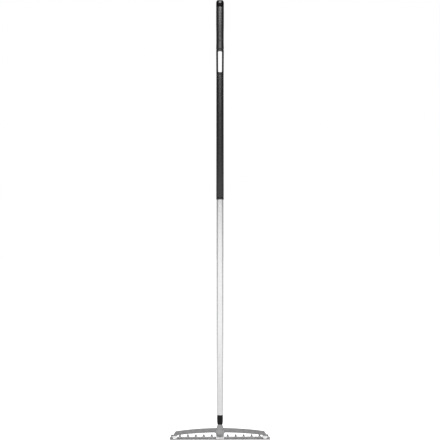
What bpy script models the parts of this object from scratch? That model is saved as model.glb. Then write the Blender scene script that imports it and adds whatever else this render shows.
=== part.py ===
"""Long-handled soil rake: a toothed steel head on an arched frame, an aluminium shaft and a soft grip.

The shaft stands along Z with its axis at X = 0, Y = 0, the tines reach back along +Y, and the straight
levelling edge faces -Y. Heights are measured from the head's underside. The whole rake is then lowered,
so that the origin lies at the top of the hanging slot, where a hook holds it. All sizes are in metres.
"""

import math

import bmesh
import bpy
from mathutils import Vector

MM = 0.001

# Fits and finish
GAP = 0.3 * MM
ROUND_STEPS = 32
BAR_STEPS = 16
ARC_STEPS = 4
EDGE_BEVEL = 0.5 * MM
BEVEL_ANGLE = math.radians(50)
SMOOTH_ANGLE = math.radians(35)
CUTTER_EXTRA = 2 * MM

# Tined plate
HEAD_HALF_WIDTH = 187 * MM
SHEET = 3 * MM
FRONT_EDGE_Y = -12 * MM
GULLET_Y = 9.5 * MM
GULLET_RADIUS = 6.5 * MM
TINE_COUNT = 13
TINE_PITCH = 30 * MM
TINE_ROOT_HALF = 7 * MM
TINE_TIP_HALF = 3.2 * MM
TINE_TIP_Y = 68 * MM
TINE_TIP_RADIUS = 1 * MM
TINE_CURVE_START_Y = 24 * MM
TINE_RISE = 6.8 * MM
TINE_BENDS = 6

# Spine bar on edge along the plate
SPINE_FRONT_Y = 4.6 * MM
SPINE_TOP = 10.4 * MM
SPINE_CORNER = 4 * MM

# Arch sheet with its three feet
ARCH_FRONT_Y = 2.8 * MM
ARCH_TOP = 42.7 * MM
ARCH_TOP_RADIUS = 1163 * MM
ARCH_UNDER = 25.6 * MM
ARCH_UNDER_RADIUS = 1316 * MM
ARCH_POINTS = 9
ARM_SHOULDER_X = 165.8 * MM
ARM_SHOULDER_RADIUS = 7 * MM
ARM_INNER_X = 159.5 * MM
ARM_OUTER_X = 177 * MM
ARM_INNER_RADIUS = 4 * MM
ARM_FLARE_HEIGHT = 12.5 * MM
LEG_HALF = 14.7 * MM
LEG_FILLET = 6.5 * MM
CENTRE_FOOT_HALF = 17.5 * MM
FOOT_CORNER = 2.5 * MM
BEND_TOP = 13.9 * MM
BEND_RADIUS = 4 * MM
BEND_STEPS = 3
FOOT_SLOPE = math.radians(45)

# Forged tang: (height, half width, front Y, back Y, squareness) from the palm up to the spigot
PALM_BACK_Y = ARCH_FRONT_Y - GAP
TANG_SECTIONS = (
    (18.4 * MM, 8.6 * MM, -2.2 * MM, PALM_BACK_Y, 4.0),
    (19.6 * MM, 10.4 * MM, -2.8 * MM, PALM_BACK_Y, 4.0),
    (22.0 * MM, 11.3 * MM, -3.0 * MM, PALM_BACK_Y, 4.0),
    (36.0 * MM, 11.6 * MM, -3.4 * MM, PALM_BACK_Y, 4.0),
    (43.2 * MM, 12.6 * MM, -4.9 * MM, PALM_BACK_Y, 3.2),
    (46.8 * MM, 11.9 * MM, -6.4 * MM, 4.4 * MM, 2.7),
    (50.5 * MM, 10.5 * MM, -7.8 * MM, 6.6 * MM, 2.3),
    (53.6 * MM, 9.5 * MM, -8.8 * MM, 8.2 * MM, 2.0),
    (56.2 * MM, 8.9 * MM, -8.9 * MM, 8.9 * MM, 2.0),
)
TANG_POINTS = 28
SPIGOT_RADIUS = 8 * MM
SPIGOT_TOP = 150 * MM
SPIGOT_CHAMFER = 1.5 * MM

# Weld runs
WELD_RADIUS = 1.2 * MM
FOOT_WELD_Y = -5.8 * MM
WELD_INSET = 2 * MM
PALM_WELD_X = 13.2 * MM
PALM_WELD_LOW = 22 * MM
PALM_WELD_HIGH = 37 * MM
STITCH_PLACES = (-150 * MM, -60 * MM, 60 * MM, 150 * MM)
STITCH_HALF = 9 * MM

# Shaft, with a ring of edges on either side of each hole
TUBE_RADIUS = 12.5 * MM
TUBE_WALL = 1 * MM
TUBE_BOTTOM = 92 * MM
TUBE_TOP = 1360.1 * MM
HOLE_BAND = 5 * MM
PLUG_RADIUS = TUBE_RADIUS - TUBE_WALL - GAP

# Ferrule
FERRULE_TOP = 172 * MM
FERRULE_BOTTOM = 56.5 * MM
FERRULE_BOTTOM_RADIUS = 9.3 * MM
FERRULE_TAPER_TOP = 74 * MM
FERRULE_NOSE_STEPS = 6

# Rivet behind the tang, in the shaft's rear wall
RIVET_HEIGHT = 122 * MM
RIVET_RADIUS = 2.4 * MM
RIVET_HEAD_RADIUS = 4.5 * MM
RIVET_HEAD = 1.6 * MM
RIVET_END_Y = -3.5 * MM

# Long sleeve and its collar
SLEEVE_BORE = TUBE_RADIUS + GAP
SLEEVE_BOTTOM = 904.2 * MM
SLEEVE_BOTTOM_RADIUS = 14 * MM
SLEEVE_MIDDLE = 1100 * MM
SLEEVE_MIDDLE_RADIUS = 13.85 * MM
SLEEVE_TOP_RADIUS = 13.7 * MM
COLLAR_BOTTOM = 895.4 * MM
COLLAR_LIP_TOP = 901.8 * MM
COLLAR_RADIUS = 14.2 * MM
COLLAR_NECK_RADIUS = 13.5 * MM
COLLAR_ROUNDING = 1 * MM

# Hanger frame, with its plug in the tube and its core in the grip
FRAME_BOTTOM = 1360.4 * MM
FRAME_TOP = 1453 * MM
FRAME_BOTTOM_RADIUS = 13.8 * MM
FRAME_TOP_RADIUS = 14.4 * MM
FRAME_EDGE = 0.8 * MM
FRAME_NECK_RADIUS = 13.6 * MM
SLOT_BOTTOM = 1369.6 * MM
SLOT_TOP = 1450.3 * MM
SLOT_BOTTOM_HALF = 7.05 * MM
SLOT_TOP_HALF = 7.55 * MM
SLOT_BOTTOM_CORNER = 3 * MM
SLOT_TOP_CORNER = 5 * MM
SLOT_FLARE = 1.2 * MM
SLOT_FLARE_DEPTH = 3.2 * MM
HANGER_PLUG_BOTTOM = 1290 * MM
HANGER_PLUG_BORE = 8.5 * MM
HANGER_BORE_TOP = 1350 * MM
PIN_HEIGHT = 1325 * MM
PIN_RADIUS = 2 * MM
PIN_HALF = 12.2 * MM
CORE_RADIUS = 10 * MM
CORE_TOP = 1610 * MM
CORE_BORE = 6 * MM
CORE_BORE_BOTTOM = 1565 * MM

# Soft grip: (height, radius) down its outer side
GRIP_TOP = 1613 * MM
GRIP_BOTTOM = 1455.2 * MM
GRIP_SIDE = (
    (GRIP_TOP, 13.9 * MM),
    (1611.8 * MM, 14.35 * MM),
    (1598 * MM, 14.5 * MM),
    (1554 * MM, 14.45 * MM),
    (1534 * MM, 14.25 * MM),
    (1516 * MM, 14.0 * MM),
    (1482 * MM, 13.95 * MM),
    (1468 * MM, 14.25 * MM),
    (1461 * MM, 14.4 * MM),
    (1457 * MM, 14.3 * MM),
    (GRIP_BOTTOM, 13.9 * MM),
)

# End cap
CAP_TOP = 1640 * MM
CAP_BOTTOM = 1613.3 * MM
CAP_RADIUS = 14.6 * MM
CAP_SHOULDER_WIDTH = 6.5 * MM
CAP_SHOULDER_HEIGHT = 12 * MM
CAP_SHOULDER_STEPS = 6
CAP_CROWN = 0.3 * MM
CAP_PLUG_RADIUS = CORE_BORE - GAP
CAP_PLUG_BOTTOM = 1575 * MM


def clear_scene():
    """Empty the file of its starting objects."""
    for old in list(bpy.data.objects):
        bpy.data.objects.remove(old, do_unlink=True)


def new_collection(name):
    """A collection of the scene under this name."""
    made = bpy.data.collections.new(name)
    bpy.context.scene.collection.children.link(made)
    return made


def new_material(name, colour, roughness, metallic):
    """A plain Principled material."""
    material = bpy.data.materials.new(name)
    material.use_nodes = True
    shader = material.node_tree.nodes["Principled BSDF"]
    shader.inputs["Base Color"].default_value = (*colour, 1)
    shader.inputs["Roughness"].default_value = roughness
    shader.inputs["Metallic"].default_value = metallic
    return material


def new_object(name, data, material=None):
    """An object that holds this data, in the rake's collection with a material, or else among the cutters."""
    made = bpy.data.objects.new(name, data)
    made.parent = ROOT
    if material is None:
        CUTTERS.objects.link(made)
        made.hide_render = True
        made.display_type = "WIRE"
        return made
    PIECES.objects.link(made)
    data.materials.append(material)
    return made


def mesh_from(name, bm):
    """Turn a bmesh into a mesh and free it."""
    mesh = bpy.data.meshes.new(name)
    bm.to_mesh(mesh)
    bm.free()
    return mesh


def round_corners(corners):
    """Outline through (a, b, radius) corners, with an arc at each corner that has a radius."""
    outline = []
    for index, (a, b, radius) in enumerate(corners):
        corner = Vector((a, b))
        if radius == 0:
            outline.append(corner)
            continue
        to_last = (Vector(corners[index - 1][:2]) - corner).normalized()
        to_next = (Vector(corners[(index + 1) % len(corners)][:2]) - corner).normalized()
        half_angle = to_last.angle(to_next) / 2
        centre = corner + (to_last + to_next).normalized() * radius / math.sin(half_angle)
        start = (corner + to_last * radius / math.tan(half_angle) - centre).normalized()
        end = (corner + to_next * radius / math.tan(half_angle) - centre).normalized()
        for step in range(ARC_STEPS + 1):
            outline.append(centre + start.slerp(end, step / ARC_STEPS) * radius)
    return outline


def bevel_edges(made, width):
    """Take off the sharp edges of a piece."""
    bevel = made.modifiers.new("Soft edges", "BEVEL")
    bevel.width = width
    bevel.segments = 1
    bevel.limit_method = "ANGLE"
    bevel.angle_limit = BEVEL_ANGLE


def bent_sheet(name, outline, folds, bend, material):
    """Sheet metal cut to an outline, creased at each fold value of b, and laid out by bend(a, b)."""
    bm = bmesh.new()
    bm.faces.new([bm.verts.new((a, b, 0)) for a, b in outline])
    for fold in folds:
        # Without its normal a face with notches isn't split at all of its legs
        bm.normal_update()
        bmesh.ops.bisect_plane(
            bm, geom=bm.verts[:] + bm.edges[:] + bm.faces[:], plane_co=(0, fold, 0), plane_no=(0, 1, 0)
        )
    for vert in bm.verts:
        vert.co = bend(vert.co.x, vert.co.y)
    made = new_object(name, mesh_from(name, bm), material)
    solidify = made.modifiers.new("Sheet", "SOLIDIFY")
    solidify.thickness = SHEET
    solidify.offset = 0
    solidify.use_even_offset = True
    bevel_edges(made, EDGE_BEVEL)
    return made


def shade_round(mesh):
    """Smooth shading with sharp corners kept."""
    mesh.shade_smooth()
    mesh.set_sharp_from_angle(angle=SMOOTH_ANGLE)


def turned(name, profile, material=None):
    """Body turned about Z from (radius, height) points down the outer side, and up the inner one on a ring."""
    bm = bmesh.new()
    verts = [bm.verts.new((radius, 0, height)) for radius, height in profile]
    for first, second in zip(verts, verts[1:]):
        bm.edges.new((first, second))
    if profile[0][0] > 0:
        bm.edges.new((verts[-1], verts[0]))
    guide = bpy.data.objects.new(name + "_guide", mesh_from(name + "_guide", bm))
    CUTTERS.objects.link(guide)
    screw = guide.modifiers.new("Turn", "SCREW")
    screw.steps = ROUND_STEPS
    screw.render_steps = ROUND_STEPS
    screw.use_merge_vertices = True
    screw.merge_threshold = 0.01 * MM
    mesh = bpy.data.meshes.new_from_object(guide.evaluated_get(bpy.context.evaluated_depsgraph_get()))
    mesh.name = name
    bpy.data.objects.remove(guide)
    shade_round(mesh)
    return new_object(name, mesh, material)


def loft(name, rings, material=None):
    """Closed body through rings of points, which all have the same number of points."""
    bm = bmesh.new()
    rows = [[bm.verts.new(point) for point in ring] for ring in rings]
    count = len(rows[0])
    for lower, upper in zip(rows, rows[1:]):
        for index in range(count):
            after = (index + 1) % count
            bm.faces.new((lower[index], lower[after], upper[after], upper[index]))
    bm.faces.new(reversed(rows[0]))
    bm.faces.new(rows[-1])
    bmesh.ops.recalc_face_normals(bm, faces=bm.faces[:])
    mesh = mesh_from(name, bm)
    shade_round(mesh)
    return new_object(name, mesh, material)


def round_bar(name, radius, length, material=None):
    """Cylinder centred on its own origin, along its own Z."""
    bm = bmesh.new()
    bmesh.ops.create_cone(
        bm, cap_ends=True, segments=BAR_STEPS, radius1=radius, radius2=radius, depth=length
    )
    mesh = mesh_from(name, bm)
    shade_round(mesh)
    return new_object(name, mesh, material)


def cut(made, cutter):
    """Take another body's shape out of a piece."""
    boolean = made.modifiers.new(cutter.name, "BOOLEAN")
    boolean.operation = "DIFFERENCE"
    boolean.solver = "EXACT"
    boolean.object = cutter


def tine_places():
    """Middle of each tine across the head."""
    first = -TINE_PITCH * (TINE_COUNT - 1) / 2
    return [first + TINE_PITCH * index for index in range(TINE_COUNT)]


def tine_comb(material):
    """Stamped plate with a straight front edge and tapered tines that curve up at the back."""
    corners = [
        (-HEAD_HALF_WIDTH, FRONT_EDGE_Y, FOOT_CORNER),
        (HEAD_HALF_WIDTH, FRONT_EDGE_Y, FOOT_CORNER),
    ]
    places = tine_places()
    for x in reversed(places):
        corners += [
            (x + TINE_ROOT_HALF, GULLET_Y, GULLET_RADIUS if x < places[-1] else 0),
            (x + TINE_TIP_HALF, TINE_TIP_Y, TINE_TIP_RADIUS),
            (x - TINE_TIP_HALF, TINE_TIP_Y, TINE_TIP_RADIUS),
            (x - TINE_ROOT_HALF, GULLET_Y, GULLET_RADIUS if x > places[0] else 0),
        ]
    reach = TINE_TIP_Y - TINE_CURVE_START_Y
    folds = [TINE_CURVE_START_Y + reach * step / TINE_BENDS for step in range(TINE_BENDS)]

    def curve_up(x, y):
        along = max(0, y - TINE_CURVE_START_Y) / reach
        return (x, y, SHEET / 2 + TINE_RISE * along**2)

    return bent_sheet("tine_comb", round_corners(corners), folds, curve_up, material)


def spine_bar(material):
    """Flat bar on edge, welded along the plate."""
    low = SHEET + GAP
    corners = [
        (-HEAD_HALF_WIDTH, low, 0),
        (HEAD_HALF_WIDTH, low, 0),
        (HEAD_HALF_WIDTH, SPINE_TOP, SPINE_CORNER),
        (-HEAD_HALF_WIDTH, SPINE_TOP, SPINE_CORNER),
    ]
    middle = SPINE_FRONT_Y + SHEET / 2
    return bent_sheet("spine_bar", round_corners(corners), [], lambda x, z: (x, middle, z), material)


def arch_height(x, crown, radius):
    """Height of an arch line that is highest at the middle."""
    return crown - x**2 / (2 * radius)


def bow_half_corners(foot_end):
    """Right half of the arch sheet's outline, from the centre foot round to the top of the arch."""
    first = LEG_HALF + 2 * LEG_FILLET
    last = ARM_INNER_X - 2 * ARM_INNER_RADIUS
    under = [first + (last - first) * step / ARCH_POINTS for step in range(ARCH_POINTS + 1)]
    top_last = ARM_SHOULDER_X - 2 * ARM_SHOULDER_RADIUS
    over = [top_last * (1 - step / ARCH_POINTS) for step in range(ARCH_POINTS)]
    corners = [
        (CENTRE_FOOT_HALF, foot_end, FOOT_CORNER),
        (LEG_HALF, BEND_TOP - 2 * BEND_RADIUS, 0),
        (LEG_HALF, arch_height(LEG_HALF, ARCH_UNDER, ARCH_UNDER_RADIUS), LEG_FILLET),
    ]
    corners += [(x, arch_height(x, ARCH_UNDER, ARCH_UNDER_RADIUS), 0) for x in under]
    corners += [
        (ARM_INNER_X, arch_height(ARM_INNER_X, ARCH_UNDER, ARCH_UNDER_RADIUS), ARM_INNER_RADIUS),
        (ARM_INNER_X, foot_end, FOOT_CORNER),
        (ARM_OUTER_X, foot_end, FOOT_CORNER),
        (ARM_OUTER_X, ARM_FLARE_HEIGHT, ARM_INNER_RADIUS),
        (
            ARM_SHOULDER_X,
            arch_height(ARM_SHOULDER_X, ARCH_TOP, ARCH_TOP_RADIUS),
            ARM_SHOULDER_RADIUS,
        ),
    ]
    corners += [(x, arch_height(x, ARCH_TOP, ARCH_TOP_RADIUS), 0) for x in over]
    return corners


def fold_foot(x, height):
    """Place a point of the flat arch sheet: upright above the bend, sloping forward below it."""
    past = max(0, BEND_TOP - height)
    turn = min(past / BEND_RADIUS, FOOT_SLOPE)
    straight = max(0, past - BEND_RADIUS * FOOT_SLOPE)
    sideways = BEND_RADIUS * (1 - math.cos(turn)) + straight * math.sin(FOOT_SLOPE)
    down = BEND_RADIUS * math.sin(turn) + straight * math.cos(FOOT_SLOPE)
    return (x, ARCH_FRONT_Y + SHEET / 2 - sideways, max(height, BEND_TOP) - down)


def bow_frame(material):
    """Stamped arch with a centre leg and two end arms, each with a foot that reaches the plate."""
    lowest = SHEET + GAP + SHEET / 2 * math.sin(FOOT_SLOPE)
    slope_top = BEND_TOP - BEND_RADIUS * math.sin(FOOT_SLOPE)
    slope_length = (slope_top - lowest) / math.cos(FOOT_SLOPE)
    bend_length = BEND_RADIUS * FOOT_SLOPE
    half = bow_half_corners(BEND_TOP - bend_length - slope_length)
    mirrored = [(-x, height, radius) for x, height, radius in reversed(half)]
    folds = [BEND_TOP - bend_length * step / BEND_STEPS for step in range(BEND_STEPS + 1)]
    return bent_sheet("bow_frame", round_corners(half + mirrored), folds, fold_foot, material)


def tang_ring(height, half_width, front, back, squareness):
    """Cross-section of the tang: a circle at squareness 2, and a flatter rounded box above that."""
    ring = []
    for index in range(TANG_POINTS):
        angle = math.tau * index / TANG_POINTS
        across = math.copysign(abs(math.cos(angle)) ** (2 / squareness), math.cos(angle))
        along = math.copysign(abs(math.sin(angle)) ** (2 / squareness), math.sin(angle))
        depth = (back + front) / 2 + (back - front) / 2 * along
        ring.append((half_width * across, depth, height))
    return ring


def socket_tang(material):
    """Forged palm that flares and rounds into a neck, with a spigot inside the shaft."""
    rings = [tang_ring(*section) for section in TANG_SECTIONS]
    shoulder = TANG_SECTIONS[-1][0]
    for height, radius in (
        (shoulder, SPIGOT_RADIUS),
        (SPIGOT_TOP - SPIGOT_CHAMFER, SPIGOT_RADIUS),
        (SPIGOT_TOP, SPIGOT_RADIUS - SPIGOT_CHAMFER),
    ):
        rings.append(tang_ring(height, radius, -radius, radius, 2.0))
    return loft("socket_tang", rings, material)


def weld_run(name, start, end, material):
    """Bead of weld metal, thinner at its two ends."""
    curve = bpy.data.curves.new(name, "CURVE")
    curve.dimensions = "3D"
    curve.bevel_depth = WELD_RADIUS
    curve.bevel_resolution = 1
    curve.use_fill_caps = True
    spline = curve.splines.new("POLY")
    places = ((0, 0.5), (0.08, 1), (0.92, 1), (1, 0.5))
    spline.points.add(len(places) - 1)
    for point, (along, fullness) in zip(spline.points, places):
        point.co = (*Vector(start).lerp(Vector(end), along), 1)
        point.radius = fullness
    return new_object(name, curve, material)


def head_welds(material):
    """Runs that hold the feet to the plate, the palm to the arch sheet and the spine bar to the plate."""
    low = SHEET + GAP + WELD_RADIUS
    foot_spans = {
        "weld_foot_left": (-ARM_OUTER_X + WELD_INSET, -ARM_INNER_X - WELD_INSET),
        "weld_foot_centre": (-CENTRE_FOOT_HALF + WELD_INSET, CENTRE_FOOT_HALF - WELD_INSET),
        "weld_foot_right": (ARM_INNER_X + WELD_INSET, ARM_OUTER_X - WELD_INSET),
    }
    for name, (left, right) in foot_spans.items():
        weld_run(name, (left, FOOT_WELD_Y, low), (right, FOOT_WELD_Y, low), material)
    palm_y = PALM_BACK_Y - WELD_RADIUS
    for name, x in (("weld_palm_left", -PALM_WELD_X), ("weld_palm_right", PALM_WELD_X)):
        weld_run(name, (x, palm_y, PALM_WELD_LOW), (x, palm_y, PALM_WELD_HIGH), material)
    stitch_y = SPINE_FRONT_Y + SHEET + GAP + WELD_RADIUS
    for number, x in enumerate(STITCH_PLACES, start=1):
        weld_run(
            f"weld_spine_{number}", (x - STITCH_HALF, stitch_y, low), (x + STITCH_HALF, stitch_y, low), material
        )


def shaft_tube(material):
    """Drawn aluminium tube from the ferrule up into the handle."""
    bore = TUBE_RADIUS - TUBE_WALL
    bands = [hole + side for hole in (PIN_HEIGHT, RIVET_HEIGHT) for side in (HOLE_BAND, -HOLE_BAND)]
    profile = [(TUBE_RADIUS, height) for height in [TUBE_TOP, *bands, TUBE_BOTTOM + TUBE_WALL / 2]]
    profile.append((TUBE_RADIUS - TUBE_WALL / 2, TUBE_BOTTOM))
    profile += [(bore, height) for height in [TUBE_BOTTOM, *reversed(bands), TUBE_TOP]]
    return turned("shaft_tube", profile, material)


def ferrule(material):
    """Moulded plug: a sleeve inside the tube and a bullet-shaped nose below it."""
    bore = SPIGOT_RADIUS + GAP
    profile = [
        (PLUG_RADIUS - SPIGOT_CHAMFER, FERRULE_TOP),
        (PLUG_RADIUS, FERRULE_TOP - SPIGOT_CHAMFER),
    ]
    for step in range(FERRULE_NOSE_STEPS + 1):
        down = step / FERRULE_NOSE_STEPS
        radius = PLUG_RADIUS - (PLUG_RADIUS - FERRULE_BOTTOM_RADIUS) * down**3
        profile.append((radius, FERRULE_TAPER_TOP - (FERRULE_TAPER_TOP - FERRULE_BOTTOM) * down))
    profile += [(bore, FERRULE_BOTTOM), (bore, FERRULE_TOP)]
    return turned("ferrule", profile, material)


def tang_rivet(material):
    """Blind rivet whose domed head lies on the shaft's rear wall."""
    seat = TUBE_RADIUS + GAP
    profile = (
        (0, seat + RIVET_HEAD),
        (RIVET_HEAD_RADIUS * 0.55, seat + RIVET_HEAD * 0.86),
        (RIVET_HEAD_RADIUS * 0.86, seat + RIVET_HEAD * 0.5),
        (RIVET_HEAD_RADIUS, seat),
        (RIVET_RADIUS, seat),
        (RIVET_RADIUS, RIVET_END_Y),
        (0, RIVET_END_Y),
    )
    made = turned("tang_rivet", profile, material)
    made.rotation_euler = (-math.pi / 2, 0, 0)
    made.location = (0, 0, RIVET_HEIGHT)
    return made


def rivet_hole():
    """Clearance for the rivet, open toward +Y."""
    end = RIVET_END_Y - GAP
    outside = TUBE_RADIUS + CUTTER_EXTRA
    hole = round_bar("rivet_hole", RIVET_RADIUS + GAP, outside - end)
    hole.rotation_euler = (-math.pi / 2, 0, 0)
    hole.location = (0, (outside + end) / 2, RIVET_HEIGHT)
    return hole


def grip_sleeve(material):
    """Long thin sleeve over the upper half of the tube."""
    profile = (
        (SLEEVE_TOP_RADIUS, TUBE_TOP),
        (SLEEVE_MIDDLE_RADIUS, SLEEVE_MIDDLE),
        (SLEEVE_BOTTOM_RADIUS, SLEEVE_BOTTOM),
        (SLEEVE_BORE, SLEEVE_BOTTOM),
        (SLEEVE_BORE, TUBE_TOP),
    )
    return turned("grip_sleeve", profile, material)


def sleeve_collar(material):
    """End ring below the sleeve, with a narrower neck that shows as a groove."""
    profile = (
        (COLLAR_NECK_RADIUS, SLEEVE_BOTTOM - GAP),
        (COLLAR_NECK_RADIUS, COLLAR_LIP_TOP),
        (COLLAR_RADIUS, COLLAR_LIP_TOP - COLLAR_ROUNDING / 2),
        (COLLAR_RADIUS, COLLAR_BOTTOM + COLLAR_ROUNDING),
        (COLLAR_RADIUS - COLLAR_ROUNDING / 3, COLLAR_BOTTOM + COLLAR_ROUNDING / 3),
        (SLEEVE_BORE, COLLAR_BOTTOM),
        (SLEEVE_BORE, SLEEVE_BOTTOM - GAP),
    )
    return turned("sleeve_collar", profile, material)


def slot_cutter():
    """Body of the hanging slot: rounded, a little wider at the top, and flared at both mouths."""

    def ring(y, grow):
        corners = [
            (-SLOT_BOTTOM_HALF - grow, SLOT_BOTTOM - grow, SLOT_BOTTOM_CORNER + grow),
            (SLOT_BOTTOM_HALF + grow, SLOT_BOTTOM - grow, SLOT_BOTTOM_CORNER + grow),
            (SLOT_TOP_HALF + grow, SLOT_TOP + grow, SLOT_TOP_CORNER + grow),
            (-SLOT_TOP_HALF - grow, SLOT_TOP + grow, SLOT_TOP_CORNER + grow),
        ]
        return [(x, y, height) for x, height in round_corners(corners)]

    outside = FRAME_TOP_RADIUS + CUTTER_EXTRA
    mouth = FRAME_BOTTOM_RADIUS - SLOT_FLARE_DEPTH
    narrow = mouth - SLOT_FLARE
    stations = ((-outside, SLOT_FLARE), (-mouth, SLOT_FLARE), (-narrow, 0))
    stations += tuple((-y, grow) for y, grow in reversed(stations))
    return loft("slot_cutter", [ring(y, grow) for y, grow in stations])


def hanger_frame(material):
    """Moulded frame round the hanging slot, with a plug below and a core above."""
    profile = (
        (CORE_RADIUS - FRAME_EDGE, CORE_TOP),
        (CORE_RADIUS, CORE_TOP - FRAME_EDGE),
        (CORE_RADIUS, GRIP_BOTTOM - GAP),
        (FRAME_NECK_RADIUS, GRIP_BOTTOM - GAP),
        (FRAME_NECK_RADIUS, FRAME_TOP),
        (FRAME_TOP_RADIUS - FRAME_EDGE / 2, FRAME_TOP),
        (FRAME_TOP_RADIUS, FRAME_TOP - FRAME_EDGE),
        (FRAME_BOTTOM_RADIUS, FRAME_BOTTOM),
        (PLUG_RADIUS, FRAME_BOTTOM),
        (PLUG_RADIUS, HANGER_PLUG_BOTTOM + SPIGOT_CHAMFER),
        (PLUG_RADIUS - SPIGOT_CHAMFER, HANGER_PLUG_BOTTOM),
        (HANGER_PLUG_BORE, HANGER_PLUG_BOTTOM),
        (HANGER_PLUG_BORE, HANGER_BORE_TOP),
        (0, HANGER_BORE_TOP),
    )
    top = ((0, CORE_BORE_BOTTOM), (CORE_BORE, CORE_BORE_BOTTOM), (CORE_BORE, CORE_TOP))
    return turned("hanger_frame", top + profile, material)


def hanger_pin(material):
    """Straight cross pin through tube and plug, covered by the sleeve."""
    made = round_bar("hanger_pin", PIN_RADIUS, 2 * PIN_HALF, material)
    made.rotation_euler = (0, math.pi / 2, 0)
    made.location = (0, 0, PIN_HEIGHT)
    return made


def pin_hole():
    """Clearance for the cross pin."""
    hole = round_bar("pin_hole", PIN_RADIUS + GAP, 2 * (TUBE_RADIUS + CUTTER_EXTRA))
    hole.rotation_euler = (0, math.pi / 2, 0)
    hole.location = (0, 0, PIN_HEIGHT)
    return hole


def soft_grip(material):
    """Soft overmould round the core, with a waist in its lower half."""
    bore = CORE_RADIUS + GAP
    profile = [(radius, height) for height, radius in GRIP_SIDE]
    profile += [(bore, GRIP_BOTTOM), (bore, GRIP_TOP)]
    return turned("soft_grip", profile, material)


def end_cap(material):
    """Rounded cap with a plug that goes down into the core."""
    shoulder = CAP_TOP - CAP_CROWN - CAP_SHOULDER_HEIGHT
    profile = [(0, CAP_TOP)]
    for step in range(CAP_SHOULDER_STEPS + 1):
        angle = math.pi / 2 * (1 - step / CAP_SHOULDER_STEPS)
        radius = CAP_RADIUS - CAP_SHOULDER_WIDTH * (1 - math.cos(angle))
        profile.append((radius, shoulder + CAP_SHOULDER_HEIGHT * math.sin(angle)))
    profile += [
        (CAP_RADIUS, CAP_BOTTOM),
        (CAP_PLUG_RADIUS, CAP_BOTTOM),
        (CAP_PLUG_RADIUS, CAP_PLUG_BOTTOM),
        (0, CAP_PLUG_BOTTOM),
    ]
    return turned("end_cap", profile, material)


clear_scene()
PIECES = new_collection("soil_rake")
CUTTERS = new_collection("cutters")
CUTTERS.hide_render = True
ROOT = bpy.data.objects.new("hook_point", None)
ROOT.location = (0, 0, -SLOT_TOP)
PIECES.objects.link(ROOT)

STEEL = new_material("satin_steel", (0.30, 0.30, 0.30), 0.38, 1.0)
WELD = new_material("weld_metal", (0.25, 0.25, 0.24), 0.5, 1.0)
ALUMINIUM = new_material("satin_aluminium", (0.80, 0.80, 0.80), 0.3, 1.0)
HARD_BLACK = new_material("hard_black_plastic", (0.018, 0.018, 0.018), 0.4, 0.0)
SOFT_BLACK = new_material("soft_black_grip", (0.03, 0.03, 0.03), 0.6, 0.0)
GLOSS_BLACK = new_material("gloss_black_cap", (0.006, 0.006, 0.006), 0.12, 0.0)

tine_comb(STEEL)
spine_bar(STEEL)
bow_frame(STEEL)
tang = socket_tang(STEEL)
head_welds(WELD)
tube = shaft_tube(ALUMINIUM)
plug = ferrule(HARD_BLACK)
tang_rivet(ALUMINIUM)
sleeve_collar(HARD_BLACK)
grip_sleeve(HARD_BLACK)
frame = hanger_frame(HARD_BLACK)
hanger_pin(STEEL)
soft_grip(SOFT_BLACK)
end_cap(GLOSS_BLACK)

RIVET_HOLE = rivet_hole()
for piece in (tang, tube, plug):
    cut(piece, RIVET_HOLE)
PIN_HOLE = pin_hole()
for piece in (tube, frame):
    cut(piece, PIN_HOLE)
cut(frame, slot_cutter())
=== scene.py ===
"""Soil rake dressed for a plain studio picture: fine shapes and procedural materials over the solids.

Heights are measured from the head's underside, as in the part's own source. Every piece is then lowered
by SLOT_TOP, because the origin lies at the top of the hanging slot. Sizes are in metres.
"""

import math

import bmesh
import bpy
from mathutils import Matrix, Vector, noise


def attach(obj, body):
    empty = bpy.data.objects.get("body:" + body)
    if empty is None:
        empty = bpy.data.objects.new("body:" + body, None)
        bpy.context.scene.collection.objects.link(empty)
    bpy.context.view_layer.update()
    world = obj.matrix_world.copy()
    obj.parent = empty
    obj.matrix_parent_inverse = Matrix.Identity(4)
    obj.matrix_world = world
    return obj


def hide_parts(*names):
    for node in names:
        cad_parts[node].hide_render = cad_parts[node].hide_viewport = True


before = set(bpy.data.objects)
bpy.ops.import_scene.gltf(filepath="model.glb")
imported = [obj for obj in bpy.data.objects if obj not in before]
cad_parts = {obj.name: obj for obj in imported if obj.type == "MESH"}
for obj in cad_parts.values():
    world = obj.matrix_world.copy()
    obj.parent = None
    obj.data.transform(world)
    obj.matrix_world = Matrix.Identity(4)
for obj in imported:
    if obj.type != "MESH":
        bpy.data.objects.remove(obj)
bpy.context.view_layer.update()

MM = 0.001

# Finish of the shapes, and the gap that the pieces keep
GAP = 0.3 * MM
ROUND_STEPS = 96
ARC_STEPS = 8
SHEET_EDGE = 0.7 * MM
SMOOTH_ANGLE = math.radians(35)
CUTTER_EXTRA = 3 * MM

# Tined plate
HEAD_HALF_WIDTH = 187 * MM
SHEET = 3 * MM
FRONT_EDGE_Y = -12 * MM
GULLET_Y = 9.5 * MM
GULLET_RADIUS = 6.5 * MM
TINE_COUNT = 13
TINE_PITCH = 30 * MM
TINE_ROOT_HALF = 7 * MM
TINE_TIP_HALF = 3.2 * MM
TINE_TIP_Y = 68 * MM
TINE_TIP_RADIUS = 1 * MM
TINE_CURVE_START_Y = 24 * MM
TINE_RISE = 6.8 * MM
TINE_BENDS = 12

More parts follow.
